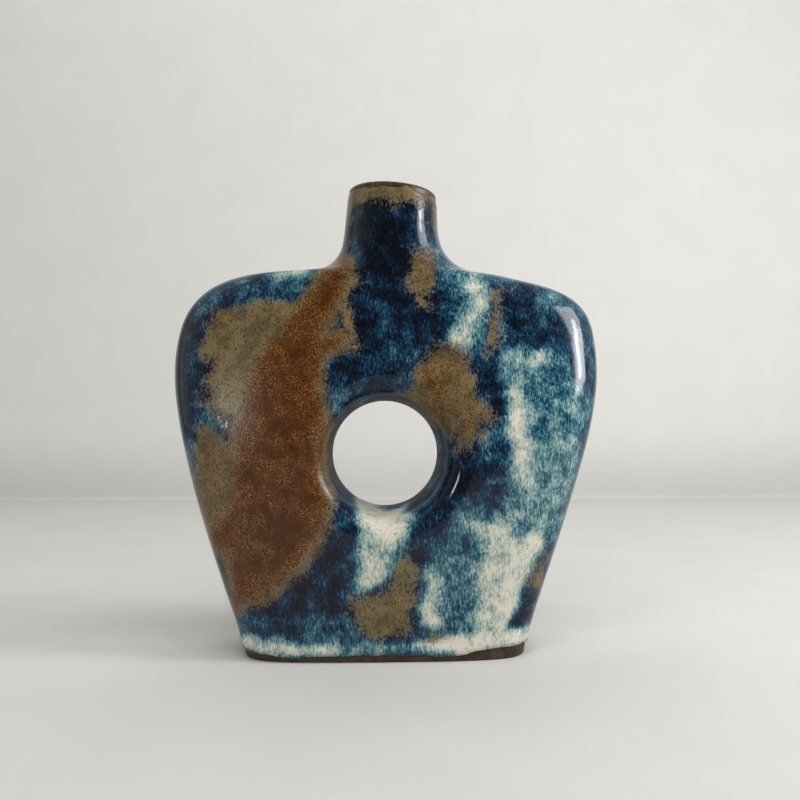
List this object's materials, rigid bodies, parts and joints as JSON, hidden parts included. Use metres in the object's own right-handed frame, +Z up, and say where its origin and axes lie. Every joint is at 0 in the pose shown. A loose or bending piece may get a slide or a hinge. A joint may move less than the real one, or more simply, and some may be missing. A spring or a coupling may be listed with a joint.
{
  "type": "pillow vase",
  "caption": "Flattened hand-built stoneware vase with a round eye through the body, a short neck and a running blue, cream and rust glaze above a bare foot.",
  "frame": {"origin": "on the table, under the middle of the vase's overall width and depth", "axes": "+X to the right as seen from the front, +Y to the rear, +Z up"},
  "size_m": [0.1791, 0.0606, 0.1928],
  "materials": {
    "bare_clay": "matt fired stoneware",
    "glaze": "glossy running glaze"
  },
  "bodies": {
    "root": {"base_slab": "bare_clay", "front_wall": "bare_clay", "rear_wall": "bare_clay", "tunnel_ring": "bare_clay", "neck_collar": "bare_clay", "glaze_coat": "glaze"}
  },
  "joints": []
}
